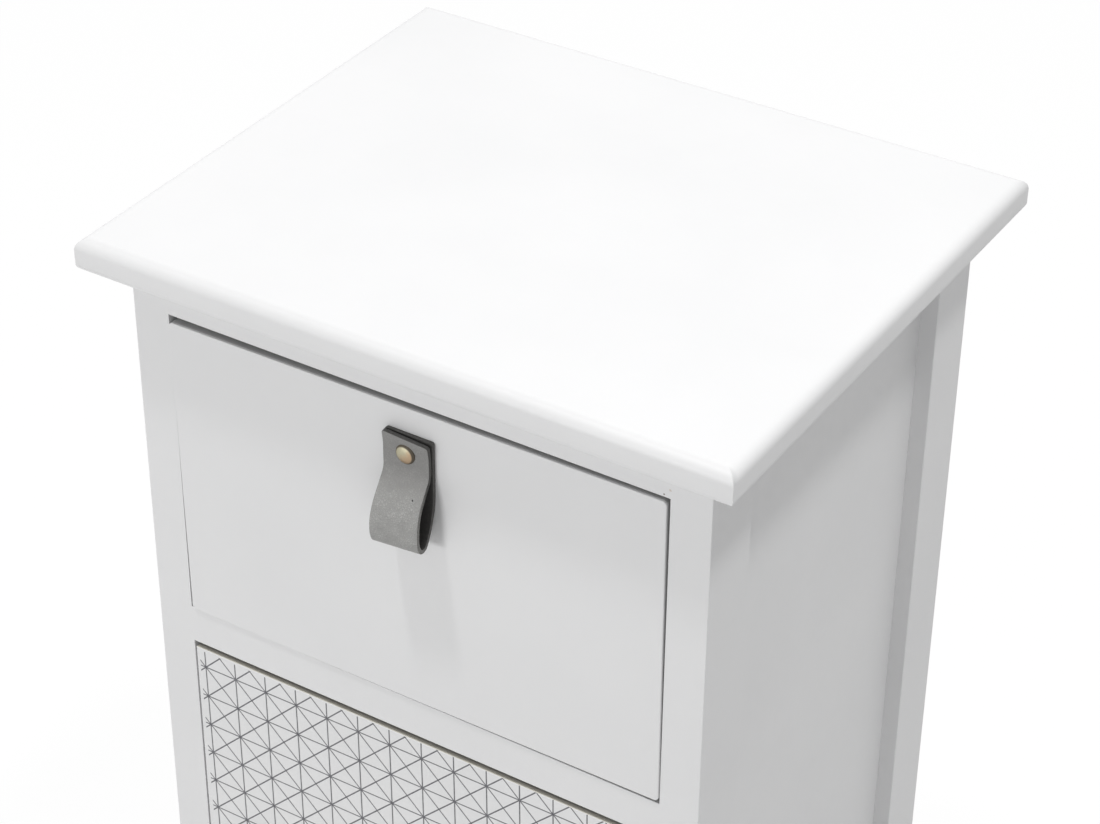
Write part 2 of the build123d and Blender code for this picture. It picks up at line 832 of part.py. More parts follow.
for level, centre_z in hinge_middles.items():
    frame_leaf_stock = hinge_leaf(centre_z, 1, frame_knuckles)
    door_leaf_stock = hinge_leaf(centre_z, -1, door_knuckles)

    with BuildPart() as frame_leaf:
        add(frame_leaf_stock)
    save(frame_leaf, f"{level}_hinge_frame_leaf")

    with BuildPart() as door_leaf:
        add(door_leaf_stock)
    save(door_leaf, f"{level}_hinge_door_leaf")

    with BuildPart() as hinge_pin:
        with Locations((pin_x, pin_y, centre_z)):
            Cylinder(pin_radius, hinge_height)
        head_shift = (hinge_height + pin_head_height) / 2
        with Locations((pin_x, pin_y, centre_z - head_shift), (pin_x, pin_y, centre_z + head_shift)):
            Cylinder(pin_head_radius, pin_head_height)
        fillet(hinge_pin.edges().filter_by(GeomType.CIRCLE).sort_by(Axis.Z)[-1], pin_head_height / 2)
        fillet(hinge_pin.edges().filter_by(GeomType.CIRCLE).sort_by(Axis.Z)[0], pin_head_height / 2)
    save(hinge_pin, f"{level}_hinge_pin")

small_screw = countersunk_screw(small_screw_radius, small_screw_head_radius, small_screw_length)
with BuildPart() as hinge_frame_screws:
    with Locations(*spots([(frame_leaf_inner, leaf_screw_y, z) for z in leaf_screw_zs], facing_left)):
        add(small_screw)
save(hinge_frame_screws, "hinge_frame_screws")

with BuildPart() as hinge_door_screws:
    with Locations(*spots([(door_leaf_outer, leaf_screw_y, z) for z in leaf_screw_zs], facing_right)):
        add(small_screw)
save(hinge_door_screws, "hinge_door_screws")


# Magnet catch: a housing on the post, a magnet between two pole plates, a strike on the door

catch_back = catch_front + catch_depth
ear_face = -opening_half + catch_ear_width
pole_x_shift = (magnet_width + pole_thickness) / 2

with BuildPart() as catch_housing:
    with BuildSketch(Plane.XZ.offset(-catch_front)):
        with Locations((catch_x, catch_middle)):
            RectangleRounded(catch_width, catch_body_height, catch_corner_radius)
    extrude(amount=-catch_depth)
    with BuildSketch(Plane.YZ.offset(-opening_half)):
        with Locations((catch_back - catch_ear_depth / 2, catch_middle)):
            RectangleRounded(catch_ear_depth, catch_height, 2 * catch_corner_radius)
    extrude(amount=catch_ear_width)
    with BuildSketch(Plane.XZ.offset(-catch_front)):
        with Locations((catch_x, catch_middle)):
            Rectangle(magnet_width + 2 * pole_thickness, magnet_height)
    extrude(amount=-magnet_depth, mode=Mode.SUBTRACT)
    with Locations(*spots([(ear_face, catch_screw_y, z) for z in catch_screw_zs], facing_right)):
        CounterSinkHole(
            small_screw_radius + hole_clearance,
            small_screw_head_radius + hole_clearance,
            counter_sink_angle=countersink_angle,
        )
save(catch_housing, "catch_housing")

with BuildPart() as catch_magnet:
    with BuildSketch(Plane.XZ.offset(-catch_front)):
        with Locations((catch_x, catch_middle)):
            Rectangle(magnet_width, magnet_height)
    extrude(amount=-magnet_depth)
save(catch_magnet, "catch_magnet")

with BuildPart() as catch_pole_plates:
    with BuildSketch(Plane.XZ.offset(pole_reach - catch_front)):
        with Locations((catch_x - pole_x_shift, catch_middle), (catch_x + pole_x_shift, catch_middle)):
            Rectangle(pole_thickness, magnet_height)
    extrude(amount=-magnet_depth - pole_reach)
save(catch_pole_plates, "catch_pole_plates")

catch_screw = countersunk_screw(small_screw_radius, small_screw_head_radius, catch_screw_length)
with BuildPart() as catch_screws:
    with Locations(*spots([(ear_face, catch_screw_y, z) for z in catch_screw_zs], facing_right)):
        add(catch_screw)
save(catch_screws, "catch_screws")

with BuildPart() as strike_plate:
    with BuildSketch(Plane.XZ.offset(-door_back)):
        with Locations((catch_x, catch_middle)):
            RectangleRounded(strike_width, strike_height, catch_corner_radius)
    extrude(amount=-strike_thickness)
    with Locations(*spots([(catch_x, door_back + strike_thickness, catch_middle)], facing_back)):
        CounterSinkHole(
            small_screw_radius + hole_clearance,
            small_screw_head_radius + hole_clearance,
            counter_sink_angle=countersink_angle,
        )
save(strike_plate, "strike_plate")

strike_screw_stock = countersunk_screw(small_screw_radius, small_screw_head_radius, strike_screw_length)
with BuildPart() as strike_screw:
    with Locations(*spots([(catch_x, door_back + strike_thickness, catch_middle)], facing_back)):
        add(strike_screw_stock)
save(strike_screw, "strike_screw")


# Leather strap pulls: a strip folded into a loop, both ends under one brass stud.
# The strap is drawn against a face at y = 0 with its two ends at z = 0.

back_leaf_y = -strap_thickness / 2
front_leaf_y = back_leaf_y - strap_thickness - strap_leaf_gap
strap_face_y = front_leaf_y - strap_thickness / 2
strap_return_angle = 180.0 - strap_hip_angle - strap_foot_angle
foot_level = (1 - sin(radians(strap_hip_angle))) * strap_foot_radius + strap_thickness / 2 - strap_height
hip_level = foot_level + strap_hip_radius * sin(radians(strap_hip_angle))

with BuildPart() as strap:
    with BuildSketch(Plane.YZ.offset(-strap_width / 2)):
        with BuildLine():
            front_leaf = Line((front_leaf_y, 0), (front_leaf_y, -strap_straight))
            flare = JernArc(front_leaf @ 1, front_leaf % 1, strap_flare_radius, -strap_flare_angle)
            ramp = Line(flare @ 1, flare @ 1 + strap_ramp * (flare % 1))
            belly = JernArc(ramp @ 1, ramp % 1, strap_belly_radius, strap_flare_angle)
            drop = Line(belly @ 1, ((belly @ 1).X, hip_level))
            hip = JernArc(drop @ 1, drop % 1, strap_hip_radius, strap_hip_angle)
            foot = JernArc(hip @ 1, hip % 1, strap_foot_radius, strap_foot_angle)
            return_reach = back_leaf_y - (foot @ 1).X
            return_radius = return_reach / (1 - cos(radians(strap_return_angle)))
            rise = JernArc(foot @ 1, foot % 1, return_radius, strap_return_angle)
            back_leaf = Line(rise @ 1, (back_leaf_y, 0))
        trace(line_width=strap_thickness)
    extrude(amount=strap_width)
    with Locations(*spots([(0, strap_face_y, -stud_drop)], facing_front)):
        Hole(stud_neck_radius + hole_clearance)

with BuildPart() as stud:
    with BuildSketch(Plane.XZ):
        with BuildLine():
            ThreePointArc(
                (0, stud_cap_height),
                (stud_crown_radius, stud_crown_height),
                (stud_cap_radius, stud_rim_height),
            )
            Polyline(
                (stud_cap_radius, stud_rim_height),
                (stud_cap_radius, 0),
                (stud_neck_radius, 0),
                (stud_neck_radius, strap_face_y),
                (pull_screw_radius + hole_clearance, strap_face_y),
                (pull_screw_radius + hole_clearance, strap_face_y + stud_bore_depth),
                (0, strap_face_y + stud_bore_depth),
                (0, stud_cap_height),
            )
        make_face()
    revolve(axis=Axis.Z)

pull_screw_length = front_thickness + stud_bore_depth - pull_screw_end_gap
with BuildPart() as pull_screw:
    with BuildSketch(Plane.XZ):
        with BuildLine():
            Polyline(
                (0, pull_screw_head_height),
                (pull_screw_head_radius - pull_screw_head_ease, pull_screw_head_height),
                (pull_screw_head_radius, pull_screw_head_height - pull_screw_head_ease),
                (pull_screw_head_radius, 0),
                (pull_screw_radius, 0),
                (pull_screw_radius, -pull_screw_length),
                (0, -pull_screw_length),
                close=True,
            )
        make_face()
    revolve(axis=Axis.Z)

pulls = {
    "drawer": (drawer_pull_x, drawer_face, drawer_pull_top, box_front_face),
    "door": (door_pull_x, front_face, door_pull_top, door_back),
}
for owner, (x, face_y, top_z, inner_y) in pulls.items():
    stud_z = top_z - stud_drop

    with BuildPart() as placed_strap:
        with Locations((x, face_y, top_z)):
            add(strap.part)
    save(placed_strap, f"{owner}_strap")

    with BuildPart() as placed_stud:
        with Locations(*spots([(x, face_y + strap_face_y, stud_z)], facing_front)):
            add(stud.part)
    save(placed_stud, f"{owner}_stud")

    with BuildPart() as placed_screw:
        with Locations(*spots([(x, inner_y, stud_z)], facing_back)):
            add(pull_screw.part)
    save(placed_screw, f"{owner}_stud_screw")
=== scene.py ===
import math

import bmesh
import bpy
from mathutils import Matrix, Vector


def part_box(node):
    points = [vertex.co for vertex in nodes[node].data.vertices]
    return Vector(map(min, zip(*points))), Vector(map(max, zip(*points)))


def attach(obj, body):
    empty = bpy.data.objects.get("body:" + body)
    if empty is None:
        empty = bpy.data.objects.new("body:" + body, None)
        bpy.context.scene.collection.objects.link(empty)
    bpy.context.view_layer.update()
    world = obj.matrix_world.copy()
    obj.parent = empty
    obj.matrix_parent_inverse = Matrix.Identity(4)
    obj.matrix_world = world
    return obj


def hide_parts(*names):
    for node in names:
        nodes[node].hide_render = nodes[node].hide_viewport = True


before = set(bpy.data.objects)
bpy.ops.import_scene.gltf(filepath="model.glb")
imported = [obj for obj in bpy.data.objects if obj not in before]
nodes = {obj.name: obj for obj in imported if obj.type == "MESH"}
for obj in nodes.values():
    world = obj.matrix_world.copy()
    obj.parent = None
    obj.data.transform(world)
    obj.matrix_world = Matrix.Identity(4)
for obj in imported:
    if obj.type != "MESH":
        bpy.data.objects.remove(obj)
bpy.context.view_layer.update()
mm = 0.001

# The photo looks down on the right front corner through a long lens
cameraLook = {
    "place": (0.6342, -1.0285, 1.3084),
    "direction": (-0.4463, 0.6967, -0.5616),
    "lens": 94.24,
    "shift": (0.0301, -0.0122),
    "sensorWidth": 36,
    "clipStart": 0.05,
}
bpy.ops.object.camera_add(location=cameraLook["place"])
camera = bpy.context.active_object
camera.name = "photoCamera"
camera.rotation_euler = Vector(cameraLook["direction"]).to_track_quat("-Z", "Y").to_euler()
camera.data.lens = cameraLook["lens"]
camera.data.sensor_width = cameraLook["sensorWidth"]
camera.data.shift_x, camera.data.shift_y = cameraLook["shift"]
camera.data.clip_start = cameraLook["clipStart"]
bpy.context.scene.camera = camera
bpy.context.scene.view_settings.view_transform = "Standard"
print("camera set")


# Node tree helpers

def startMaterial(name):
    material = bpy.data.materials.new(name)
    material.use_nodes = True
    return material, material.node_tree, material.node_tree.nodes["Principled BSDF"]


def addNode(tree, kind, values=None, **settings):
    node = tree.nodes.new(kind)
    for key, value in settings.items():
        setattr(node, key, value)
    for key, value in (values or {}).items():
        plug(tree, value, node.inputs[key])
    return node


def plug(tree, value, socket):
    if isinstance(value, bpy.types.NodeSocket):
        tree.links.new(value, socket)
    else:
        socket.default_value = value


def maths(tree, operation, first, second=0.0, third=0.0):
    node = addNode(tree, "ShaderNodeMath", {0: first, 1: second, 2: third}, operation=operation)
    return node.outputs[0]


def placeOn(tree, location=(0, 0, 0), rotation=(0, 0, 0), scale=(1, 1, 1)):
    coordinates = addNode(tree, "ShaderNodeTexCoord")
    mapping = addNode(tree, "ShaderNodeMapping", {
        "Vector": coordinates.outputs["Object"], "Location": location, "Rotation": rotation, "Scale": scale})
    return mapping.outputs[0]


def noiseOn(tree, vector, scale, detail=3.0, roughness=0.5):
    node = addNode(tree, "ShaderNodeTexNoise", {
        "Vector": vector, "Scale": scale, "Detail": detail, "Roughness": roughness})
    return node.outputs["Fac"]


def rampOf(tree, factor, stops):
    node = addNode(tree, "ShaderNodeValToRGB", {"Fac": factor})
    elements = node.color_ramp.elements
    while len(elements) < len(stops):
        elements.new(0.5)
    for element, (place, colour) in zip(elements, stops):
        element.position = place
        element.color = (*colour, 1) if len(colour) == 3 else colour
    return node.outputs["Color"]


def rangeOf(tree, value, fromLow, fromHigh, toLow, toHigh, smooth=False):
    node = addNode(tree, "ShaderNodeMapRange", {
        "Value": value, "From Min": fromLow, "From Max": fromHigh, "To Min": toLow, "To Max": toHigh},
        interpolation_type="SMOOTHSTEP" if smooth else "LINEAR")
    return node.outputs[0]


# Most values of a noise lie in this band
noiseBand = (0.3, 0.7)


def bandOf(tree, noise, toLow, toHigh):
    return rangeOf(tree, noise, *noiseBand, toLow, toHigh)


def scaled(tree, colour, factor):
    return addNode(tree, "ShaderNodeVectorMath", {0: colour, "Scale": factor}, operation="SCALE").outputs[0]


def distanceOn(tree, place, centre):
    node = addNode(tree, "ShaderNodeVectorMath", {0: place, 1: centre}, operation="DISTANCE")
    return node.outputs["Value"]


def mixColours(tree, factor, first, second):
    node = addNode(tree, "ShaderNodeMix", data_type="RGBA")
    plug(tree, factor, node.inputs["Factor"])
    plug(tree, first, node.inputs[6])
    plug(tree, second, node.inputs[7])
    return node.outputs[2]


def bumpOn(tree, shader, layers):
    last = None
    for height, strength, distance in layers:
        values = {"Height": height, "Strength": strength, "Distance": distance}
        if last is not None:
            values["Normal"] = last
        last = addNode(tree, "ShaderNodeBump", values).outputs[0]
    tree.links.new(last, shader.inputs["Normal"])


# White satin paint: nearly even, with a faint roller texture
paintLook = {
    "white": (0.800, 0.800, 0.803),
    "shade": (0.775, 0.776, 0.780),
    "patchScale": 7.0,
    "patchNoise": (4, 0.55),
    "patchStops": (0.35, 0.65),
    "rollerScale": 900.0,
    "rollerDetail": 2,
    "rollerStrength": 0.25,
    "rollerDepth": 0.05 * mm,
    "fleckScale": 260.0,
    "fleckStrength": 0.15,
    "fleckDepth": 0.1 * mm,
    "roughness": (0.40, 0.50),
}

# Inside the gaps round the drawer and the door the paint is greyer: painted shade for the gaps
paintedGapShadeLook = {
    "left": -139.0 * mm,
    "right": 140.05 * mm,
    "front": -131.4 * mm,
    "rear": -112.0 * mm,
    "colour": (0.56, 0.56, 0.56),
}

# Two small chips at the upper right corner of the drawer's opening
chipLooks = [
    {"place": (139.7 * mm, -131.8 * mm, 566.2 * mm), "size": 0.7 * mm, "colour": (0.64, 0.58, 0.53)},
    {"place": (136.6 * mm, -131.8 * mm, 562.9 * mm), "size": 0.45 * mm, "colour": (0.16, 0.14, 0.12)},
]


def paintColour(tree, look=paintLook):
    patches = noiseOn(tree, placeOn(tree), look["patchScale"], *look["patchNoise"])
    low, high = look["patchStops"]
    return rampOf(tree, patches, [(low, look["shade"]), (high, look["white"])])


# The ragged edge of a chip reaches to between two shares of its size
spotLook = {"grain": 1.6, "noise": (3, 0.6), "reach": (0.4, 1.4)}


def spotOn(tree, centre, size, look=spotLook):
    ragged = noiseOn(tree, placeOn(tree), look["grain"] / size, *look["noise"])
    reach = maths(tree, "MULTIPLY", bandOf(tree, ragged, *look["reach"]), size)
    return maths(tree, "LESS_THAN", distanceOn(tree, placeOn(tree), centre), reach)


def paintedGapShade(tree, colour, look=paintedGapShadeLook):
    place = addNode(tree, "ShaderNodeSeparateXYZ", {0: placeOn(tree)})
    fromLeft = maths(tree, "GREATER_THAN", place.outputs[0], look["left"])
    between = maths(tree, "MULTIPLY", fromLeft, maths(tree, "LESS_THAN", place.outputs[0], look["right"]))
    behind = maths(tree, "GREATER_THAN", place.outputs[1], look["front"])
    near = maths(tree, "LESS_THAN", place.outputs[1], look["rear"])
    # Painted shade: the paint turns grey on the faces inside the gaps
    inGap = maths(tree, "MULTIPLY", between, maths(tree, "MULTIPLY", behind, near))
    return mixColours(tree, inGap, colour, (*look["colour"], 1))


def finishPaint(tree, shader, under=(), look=paintLook):
    flecks = noiseOn(tree, placeOn(tree), look["fleckScale"])
    plug(tree, bandOf(tree, flecks, *look["roughness"]), shader.inputs["Roughness"])
    roller = noiseOn(tree, placeOn(tree), look["rollerScale"], look["rollerDetail"])
    bumpOn(tree, shader, [
        *under,
        (roller, look["rollerStrength"], look["rollerDepth"]),
        (flecks, look["fleckStrength"], look["fleckDepth"])])


def makePaint(name):
    material, tree, shader = startMaterial(name)
    # The faces inside the gaps get painted shade
    body = paintedGapShade(tree, paintColour(tree))
    for chip in chipLooks:
        body = mixColours(tree, spotOn(tree, chip["place"], chip["size"]), body, (*chip["colour"], 1))
    plug(tree, body, shader.inputs["Base Color"])
    finishPaint(tree, shader)
    return material


# The top board's edge is sanded slightly round between its two rounded corners,
# and its paint carries painted shade on the front's upper rounding and painted light on the lower one
crownAndPaintedShadeLook = {
    "middle": 591.0 * mm,
    "radius": 120.0 * mm,
    "front": -150.0 * mm,
    "upperCorner": 600.0 * mm,
    "upperReach": (6.6 * mm, 3.6 * mm),
    "upperPaintedShade": 0.895,
    "lowerCorner": 582.5 * mm,
    "lowerReach": (4.4 * mm, 2.4 * mm),
    "lowerPaintedLight": 1.045,
}


def nearCorner(tree, place, height, reach, look=crownAndPaintedShadeLook):
    outward = maths(tree, "SUBTRACT", place.outputs[1], look["front"])
    upward = maths(tree, "SUBTRACT", place.outputs[2], height)
    away = maths(tree, "SQRT", maths(
        tree, "ADD", maths(tree, "MULTIPLY", outward, outward), maths(tree, "MULTIPLY", upward, upward)))
    return rangeOf(tree, away, *reach, 0.0, 1.0, smooth=True)


def makeCrownedPaintWithPaintedShade(name, look=crownAndPaintedShadeLook):
    material, tree, shader = startMaterial(name)
    place = addNode(tree, "ShaderNodeSeparateXYZ", {0: placeOn(tree)})
    upper = nearCorner(tree, place, look["upperCorner"], look["upperReach"])
    lower = nearCorner(tree, place, look["lowerCorner"], look["lowerReach"])
    # Painted shade on the upper rounding and painted light on the lower one, by scaling the paint colour
    shade = maths(tree, "MULTIPLY_ADD", upper, look["upperPaintedShade"] - 1, 1.0)
    shade = maths(tree, "MULTIPLY_ADD", lower, look["lowerPaintedLight"] - 1, shade)
    plug(tree, scaled(tree, paintColour(tree), shade), shader.inputs["Base Color"])
    fromMiddle = maths(tree, "SUBTRACT", place.outputs[2], look["middle"])
    crown = maths(tree, "MULTIPLY", maths(tree, "MULTIPLY", fromMiddle, fromMiddle), -0.5 / look["radius"])
    finishPaint(tree, shader, under=[(crown, 1.0, 1.0)])
    return material


# The door's print: a square lattice with both diagonals, thin grey lines on white
printLook = {
    "cell": 19.5 * mm,
    "firstColumn": -130.2 * mm,
    "firstRow": 346.0 * mm,
    "turn": 0.010,
    "lineWidth": 0.72 * mm,
    "soft": 0.12 * mm,
    "columnLimits": (-3.4 * mm, 269.0 * mm),
    "rowLimits": (-262.0 * mm, 10.1 * mm),
    "ink": (0.062, 0.062, 0.074),
    "rawEdge": (0.77, 0.74, 0.66),
    # Painted shade deeper in the gap above the door
    "paintedShadeEdge": (0.25, 0.24, 0.22),
    "edgeFrom": -130.9 * mm,
    "edgeTo": -127.8 * mm,
    "faceY": -131.7 * mm,
    "edgeZ": 356.3 * mm,
    "wearScale": 500.0,
    "wearDetail": 4,
    "wearBand": (0.25, 0.75),
    "wear": (0.86, 1.0),
}


def makePrintedDoor(name, look=printLook):
    material, tree, shader = startMaterial(name)
    corner = placeOn(
        tree, location=(-look["firstColumn"], 0, -look["firstRow"]), rotation=(0, look["turn"], 0))
    parts = addNode(tree, "ShaderNodeSeparateXYZ", {0: corner})
    across = maths(tree, "DIVIDE", parts.outputs[0], look["cell"])
    up = maths(tree, "DIVIDE", parts.outputs[2], look["cell"])
    straight = maths(tree, "MINIMUM", maths(tree, "PINGPONG", across, 0.5), maths(tree, "PINGPONG", up, 0.5))
    rising = maths(tree, "PINGPONG", maths(tree, "ADD", across, up), 0.5)
    falling = maths(tree, "PINGPONG", maths(tree, "SUBTRACT", across, up), 0.5)
    slanted = maths(tree, "MULTIPLY", maths(tree, "MINIMUM", rising, falling), math.sqrt(0.5))
    away = maths(tree, "MULTIPLY", maths(tree, "MINIMUM", straight, slanted), look["cell"])
    half = look["lineWidth"] / 2
    line = rangeOf(tree, away, half - look["soft"], half + look["soft"], 1.0, 0.0, smooth=True)

    place = addNode(tree, "ShaderNodeSeparateXYZ", {0: placeOn(tree)})
    onFront = maths(tree, "LESS_THAN", place.outputs[1], look["faceY"])
    for axis, (first, last) in ((0, look["columnLimits"]), (2, look["rowLimits"])):
        part = parts.outputs[axis]
        onFront = maths(tree, "MULTIPLY", onFront, maths(tree, "GREATER_THAN", part, first))
        onFront = maths(tree, "MULTIPLY", onFront, maths(tree, "LESS_THAN", part, last))
    onTop = maths(tree, "GREATER_THAN", place.outputs[2], look["edgeZ"])
    patches = noiseOn(tree, placeOn(tree), look["wearScale"], look["wearDetail"])
    worn = rangeOf(tree, patches, *look["wearBand"], *look["wear"])
    inked = maths(tree, "MULTIPLY", maths(tree, "MULTIPLY", line, onFront), worn)
    # Faces inside the gaps round the door get painted shade
    printed = mixColours(tree, inked, paintedGapShade(tree, paintColour(tree)), (*look["ink"], 1))
    # The door's top edge goes from its cream raw colour to painted shade towards the back, deeper in the gap
    depth = rangeOf(tree, place.outputs[1], look["edgeFrom"], look["edgeTo"], 0.0, 1.0, smooth=True)
    edge = mixColours(tree, depth, (*look["rawEdge"], 1), (*look["paintedShadeEdge"], 1))
    plug(tree, mixColours(tree, onTop, printed, edge), shader.inputs["Base Color"])
    finishPaint(tree, shader)
    return material


# Bare wood, with rings round a far axis along the board
pineLook = {
    "early": (0.640, 0.450, 0.250),
    "late": (0.520, 0.340, 0.170),
    "stretch": 0.06,
    "ringScale": 38.0,
    "distortion": 5.0,
    "ringDetail": {"Detail": 3.0, "Detail Scale": 1.4, "Detail Roughness": 0.55},
    "earlyShare": 0.62,
    "ringStrength": 0.15,
    "ringDepth": 0.1 * mm,
    "fibreScale": 420.0,
    "fibreNoise": (5, 0.62),
    "fibreTint": 0.35,
    "fibreStrength": 0.35,
    "fibreDepth": 0.12 * mm,
    "roughness": (0.50, 0.66),
}

# Which way each board runs, and how far it lies from the middle of the rings
boardLooks = {
    "pineAcross": {"along": "X", "offset": (0.0, 0.31, 0.12)},
    "pineFrontToBack": {"along": "Y", "offset": (0.27, 0.0, 0.09)},
    "pineStrip": {"along": "Y", "offset": (0.11, 0.0, 0.33)},
    "beechDowel": {"along": "X", "offset": (0.40, 0.02, 0.05)},
    "plySheet": {"along": "X", "offset": (0.0, 0.02, 0.52)},
}


def makeWood(name, look=pineLook):
    board = boardLooks[name]
    material, tree, shader = startMaterial(name)
    stretch = [look["stretch"] if axis == board["along"] else 1 for axis in "XYZ"]
    grain = placeOn(tree, location=board["offset"], scale=stretch)
    rings = addNode(tree, "ShaderNodeTexWave", {
        "Vector": grain, "Scale": look["ringScale"], "Distortion": look["distortion"], **look["ringDetail"]},
        wave_type="RINGS", rings_direction=board["along"], wave_profile="SAW")
    fibres = noiseOn(tree, grain, look["fibreScale"], *look["fibreNoise"])
    body = rampOf(tree, rings.outputs["Fac"], [
        (0.0, look["early"]), (look["earlyShare"], look["early"]), (1.0, look["late"])])
    fibreTint = bandOf(tree, fibres, 0.0, look["fibreTint"])
    plug(tree, mixColours(tree, fibreTint, body, (*look["late"], 1)), shader.inputs["Base Color"])
    plug(tree, bandOf(tree, fibres, *look["roughness"]), shader.inputs["Roughness"])
    bumpOn(tree, shader, [
        (fibres, look["fibreStrength"], look["fibreDepth"]),
        (rings.outputs["Fac"], look["ringStrength"], look["ringDepth"])])
    return material


# Grey leather: pebbles with painted shade in their creases and lighter worn tops, deepest where the strap
# bellies out; painted shade on the flat upper part and painted light on the belly
leatherLook = {
    "flat": (0.262, 0.259, 0.252),
    "belly": (0.368, 0.366, 0.356),
    "creaseShade": 0.86,
    "wornShade": 1.22,
    "pebbleScale": 900.0,
    "pebbleRise": 0.30,
    "pebbleStrength": 0.6,
    "pebbleDepth": 0.3 * mm,
    "warpScale": 360.0,
    "warpDetail": 3.0,
    "warp": 2.2 * mm,
    "softScale": 210.0,
    "softNoise": (5, 0.65),
    "softBand": (0.35, 0.65),
    "softStrength": 0.75,
    "softDepth": 1.4 * mm,
    "fineScale": 3600.0,
    "fineStrength": 0.2,
    "fineDepth": 0.06 * mm,
    "flatGrain": 0.5,
    "flatPebbles": 0.35,
    "flatAt": -138.5 * mm,
    "deepAt": -145.5 * mm,
    "roughness": (0.60, 0.44),
    "cutEdge": (0.060, 0.059, 0.056),
    "cutEdgeLight": (0.125, 0.123, 0.118),
    "cutPaintedLight": 2.5,
    # The flesh side is near-black: painted shade for the inside of the loop, which it lines
    "flesh": (0.030, 0.029, 0.028),
    "fleshLight": (0.060, 0.058, 0.055),
    "speckAt": (9.6 * mm, -144.8 * mm, 516.5 * mm),
    "speckSize": 0.45 * mm,
    "speckDepthShare": 0.02,
    "cutStretch": (0.4, 1.0, 1.0),
    "cutScale": 1400.0,
    "cutNoise": (5, 0.7),
    "cutStops": (0.3, 0.75),
    "cutRoughness": 0.78,
    "cutStrength": 0.5,
    "cutDepth": 0.15 * mm,
}


def makeLeather(name, look=leatherLook):
    material, tree, shader = startMaterial(name)
    where = placeOn(tree)
    warp = addNode(tree, "ShaderNodeTexNoise", {
        "Vector": where, "Scale": look["warpScale"], "Detail": look["warpDetail"]})
    shift = scaled(tree, warp.outputs["Color"], look["warp"])
    shifted = addNode(tree, "ShaderNodeVectorMath", {0: where, 1: shift}, operation="ADD").outputs[0]
    pebbles = addNode(tree, "ShaderNodeTexVoronoi", {"Vector": shifted, "Scale": look["pebbleScale"]},
                      feature="DISTANCE_TO_EDGE").outputs["Distance"]
    raised = rangeOf(tree, pebbles, 0.0, look["pebbleRise"], 0.0, 1.0, smooth=True)
    out = addNode(tree, "ShaderNodeSeparateXYZ", {0: where}).outputs[1]
    belly = rangeOf(tree, out, look["flatAt"], look["deepAt"], 0.0, 1.0, smooth=True)
    cloudy = noiseOn(tree, where, look["softScale"], *look["softNoise"])
    # Painted shade on the flat upper part and painted light on the belly
    body = mixColours(tree, belly, (*look["flat"], 1), (*look["belly"], 1))
    # Painted shade in the pebbles' creases, a lighter worn tone on their tops
    grain = maths(tree, "MULTIPLY", raised, rangeOf(tree, cloudy, *look["softBand"], 0.0, 1.0))
    grain = rangeOf(tree, grain, 0.0, 1.0, look["creaseShade"], look["wornShade"])
    grainShare = rangeOf(tree, belly, 0.0, 1.0, look["flatGrain"], 1.0)
    grain = maths(tree, "MULTIPLY_ADD", maths(tree, "SUBTRACT", grain, 1.0), grainShare, 1.0)
    body = scaled(tree, body, grain)

    # Depth hardly counts for the dark speck, so that it lies on the leather wherever that curves
    depthShare = look["speckDepthShare"]
    speckX, speckY, speckZ = look["speckAt"]
    pressed = addNode(tree, "ShaderNodeVectorMath", {0: where, 1: (1, depthShare, 1)}, operation="MULTIPLY")
    fromSpeck = distanceOn(tree, pressed.outputs[0], (speckX, speckY * depthShare, speckZ))
    speck = maths(tree, "LESS_THAN", fromSpeck, look["speckSize"])
    body = mixColours(tree, speck, body, (*look["flesh"], 1))
    plug(tree, body, shader.inputs["Base Color"])
    plug(tree, rangeOf(tree, raised, 0.0, 1.0, *look["roughness"]), shader.inputs["Roughness"])
    fine = noiseOn(tree, where, look["fineScale"])
    deep = maths(tree, "MULTIPLY", raised, rangeOf(tree, belly, 0.0, 1.0, look["flatPebbles"], 1.0))
    bumpOn(tree, shader, [
        (deep, look["pebbleStrength"], look["pebbleDepth"]),
        (fine, look["fineStrength"], look["fineDepth"]),
        (cloudy, look["softStrength"], look["softDepth"])])
    return material


def makeCutLeather(name, dark, light, look=leatherLook):
    material, tree, shader = startMaterial(name)
    layers = noiseOn(tree, placeOn(tree, scale=look["cutStretch"]), look["cutScale"], *look["cutNoise"])
    out = addNode(tree, "ShaderNodeSeparateXYZ", {0: placeOn(tree)}).outputs[1]
    # Painted light: lighter where the strap bellies out round the loop
    paintedLightLift = rangeOf(tree, out, look["flatAt"], look["deepAt"], 1.0, look["cutPaintedLight"], smooth=True)
    low, high = look["cutStops"]
    body = rampOf(tree, layers, [(low, look[dark]), (high, look[light])])
    plug(tree, scaled(tree, body, paintedLightLift), shader.inputs["Base Color"])
    shader.inputs["Roughness"].default_value = look["cutRoughness"]
    bumpOn(tree, shader, [(layers, look["cutStrength"], look["cutDepth"])])
    return material


# Metals: patches of two greys under fine scratches
metalLooks = {
    "zincSteel": {
        "dark": (0.42, 0.42, 0.43), "light": (0.66, 0.66, 0.66), "patch": 420.0, "rough": (0.46, 0.28)},
    "hingeSteel": {
        "dark": (0.48, 0.48, 0.48), "light": (0.70, 0.70, 0.69), "patch": 180.0, "rough": (0.40, 0.24)},
}
metalGrain = {
    "patchNoise": (4, 0.6),
    "patchStops": (0.35, 0.65),
    "scratchStretch": (1, 0.15, 1),
    "scratchScale": 2600.0,
    "scratchDetail": 2,
    "scratchStrength": 0.12,
    "scratchDepth": 0.03 * mm,
}


